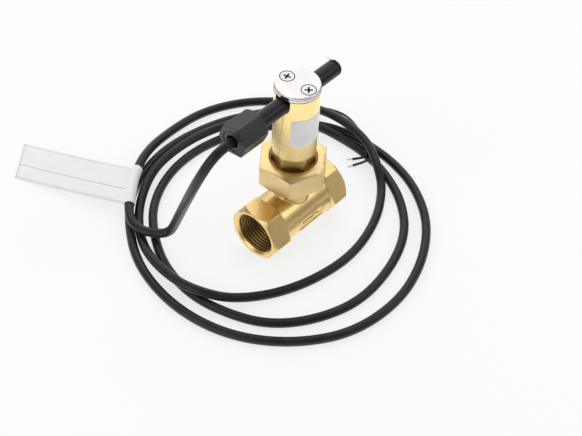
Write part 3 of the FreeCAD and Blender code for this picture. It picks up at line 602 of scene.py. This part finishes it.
def in_thread(face):
    """True for the plain bore faces that the threads stand for."""
    for vertex in face.verts:
        x, y, z = vertex.co
        if abs(math.hypot(y, z - PIPE_Z) - THREAD_R) > ON_BORE or abs(x) < THREAD_INNER_X - PAST_STEP:
            return False
    return True


def in_bore(centre):
    """True for a face centre in the waterway and its threads: the faces that get painted shade."""
    return math.hypot(centre.y, centre.z - PIPE_Z) < THREAD_R and abs(centre.x) < THREAD_OUTER_X


def in_wrench(centre):
    """True for a face centre of the wrench hexagon, half hidden in the nut, and of all below it: the faces
    that get painted shade.
    """
    return centre.z < WRENCH_TOP - JOIN_DISTANCE


# ---------------------------------------------------------------- threads, recesses and gaps
def thread_radius(turns, x):
    """Radius of a Whitworth-like ridge at a number of turns along the helix, fading out at both ends."""
    wave = 0.5 - 0.5 * math.cos(2 * math.pi * turns)
    ridge = min(1, max(0, (1 + 2 * THREAD_CLIPPED) * wave - THREAD_CLIPPED))
    fade = min(1, (x - THREAD_INNER_X) / THREAD_FADE, (THREAD_OUTER_X - x) / THREAD_FADE)
    return THREAD_R + THREAD_DEPTH * ridge * max(0, fade)


def thread_piece(name, side):
    """The ridges of one pipe thread; side is -1 at the inlet and +1 at the outlet."""
    shape = bmesh.new()
    rows = int((THREAD_OUTER_X - THREAD_INNER_X) / THREAD_PITCH * ROWS_PER_TURN) + ROWS_PER_TURN
    grid = []
    for row in range(-ROWS_PER_TURN, rows + 1):
        ring = []
        for column in range(THREAD_COLUMNS + 1):
            turn = column / THREAD_COLUMNS
            x = THREAD_INNER_X + THREAD_PITCH * (row / ROWS_PER_TURN + turn)
            x = min(THREAD_OUTER_X, max(THREAD_INNER_X, x))
            radius = thread_radius(row / ROWS_PER_TURN, x)
            angle = -side * 2 * math.pi * turn
            place = (side * x, radius * math.cos(angle), PIPE_Z + radius * math.sin(angle))
            ring.append(shape.verts.new(place))
        grid.append(ring)
    skin(shape, grid, flipped=side < 0)
    bmesh.ops.remove_doubles(shape, verts=shape.verts, dist=JOIN_DISTANCE)
    bmesh.ops.dissolve_degenerate(shape, edges=shape.edges, dist=JOIN_DISTANCE)
    bmesh.ops.recalc_face_normals(shape, faces=shape.faces)
    # the ridges get the darkened brass: painted shade in the bore
    finish_piece(add_object(name, mesh_of(shape, "thread")), "brass_thread_painted_shade", "housing")


def recess_shadow_piece():
    """Painted shade in the two cross recesses: a dark tapered cross in each screw."""
    shape = bmesh.new()
    arm, half = RECESS_ARM, RECESS_HALF
    outline = [(arm, half), (half, half), (half, arm), (-half, arm), (-half, half), (-arm, half),
               (-arm, -half), (-half, -half), (-half, -arm), (half, -arm), (half, -half), (arm, -half)]
    for y, turn in SCREW_PLACES:
        rings = []
        for depth, taper in RECESS_RINGS:
            ring = []
            for u, w in outline:
                x_local = taper * (u * math.cos(turn) - w * math.sin(turn))
                y_local = taper * (u * math.sin(turn) + w * math.cos(turn))
                ring.append(shape.verts.new((x_local, y + y_local, COVER_TOP - depth)))
            rings.append(ring)
        top, bottom = rings
        shape.faces.new(top)
        shape.faces.new(bottom[::-1])
        for k in range(len(top)):
            following = (k + 1) % len(top)
            shape.faces.new((top[k], bottom[k], bottom[following], top[following]))
    mesh = mesh_of(shape, "recess", smooth=False)
    finish_piece(add_object("screw_recess_shadows", mesh), "shadow_gap", "housing")


def add_ring(shape, height, y, radius, wire):
    """One closed round wire about a vertical line through y."""
    loops = []
    for around in range(RING_STEPS):
        turn = 2 * math.pi * around / RING_STEPS
        loop = []
        for about in range(WIRE_STEPS):
            tilt = 2 * math.pi * about / WIRE_STEPS
            reach = radius + wire * math.cos(tilt)
            place = (reach * math.cos(turn), y + reach * math.sin(turn), height + wire * math.sin(tilt))
            loop.append(shape.verts.new(place))
        loops.append(loop)
    for near, far in zip(loops, loops[1:] + loops[:1]):
        for about in range(WIRE_STEPS):
            following = (about + 1) % WIRE_STEPS
            shape.faces.new((near[about], far[about], far[following], near[following]))


def gap_shadow_piece(name, rings):
    """Painted shadow in gaps, drawn as dark wire rings, each of (height, y, radius, wire's radius)."""
    shape = bmesh.new()
    for ring in rings:
        add_ring(shape, *ring)
    finish_piece(add_object(name, mesh_of(shape, name)), "shadow_gap", "housing")


def dress_metal():
    # the bore faces get the darkened brass: painted shade
    second_finish(dress("tee_body", "housing", "brass_cast", in_thread), "brass_thread_painted_shade", in_bore)
    thread_piece("thread_inlet", -1)
    thread_piece("thread_outlet", 1)
    dress("union_nut", "housing", "brass_nut")
    # the wrench hexagon and all below it get the darkened brass: painted shade
    second_finish(dress("switch_head", "housing", "brass_plated"), "brass_wrench_painted_shade", in_wrench)
    dress("cover_disc", "housing", "nickel")
    dress("cover_screws", "housing", "screw_steel")
    recess_shadow_piece()
    # dark wire rings: painted shadow in the gaps round the screws and round the disc
    sunk = COVER_TOP - SCREW_RING_SINK
    gap_shadow_piece("screw_gap_shadows", [(sunk, y, SCREW_RING_R, SCREW_RING_WIRE) for y, _ in SCREW_PLACES])
    gap_shadow_piece("rim_gap_shadows", [(height, 0, radius, RIM_WIRE) for radius, height in RIM_SHADOW_LINES])
    dress("gland_nut", "contact", "gland_plastic")
    dress("rod_plug", "contact", "black_plastic")


def paint_cad_nodes():
    """Every CAD node gets its slot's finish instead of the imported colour."""
    slots = {row["node"]: row["material_slot"] for row in frame["record"]["subparts"]}
    for name, piece in frame["nodes"].items():
        piece.data.materials.clear()
        piece.data.materials.append(FINISH[slots[name]])


aim_camera()
make_cords()
light_studio()
dress_metal()
paint_cad_nodes()
bpy.context.scene.view_settings.view_transform = "Standard"
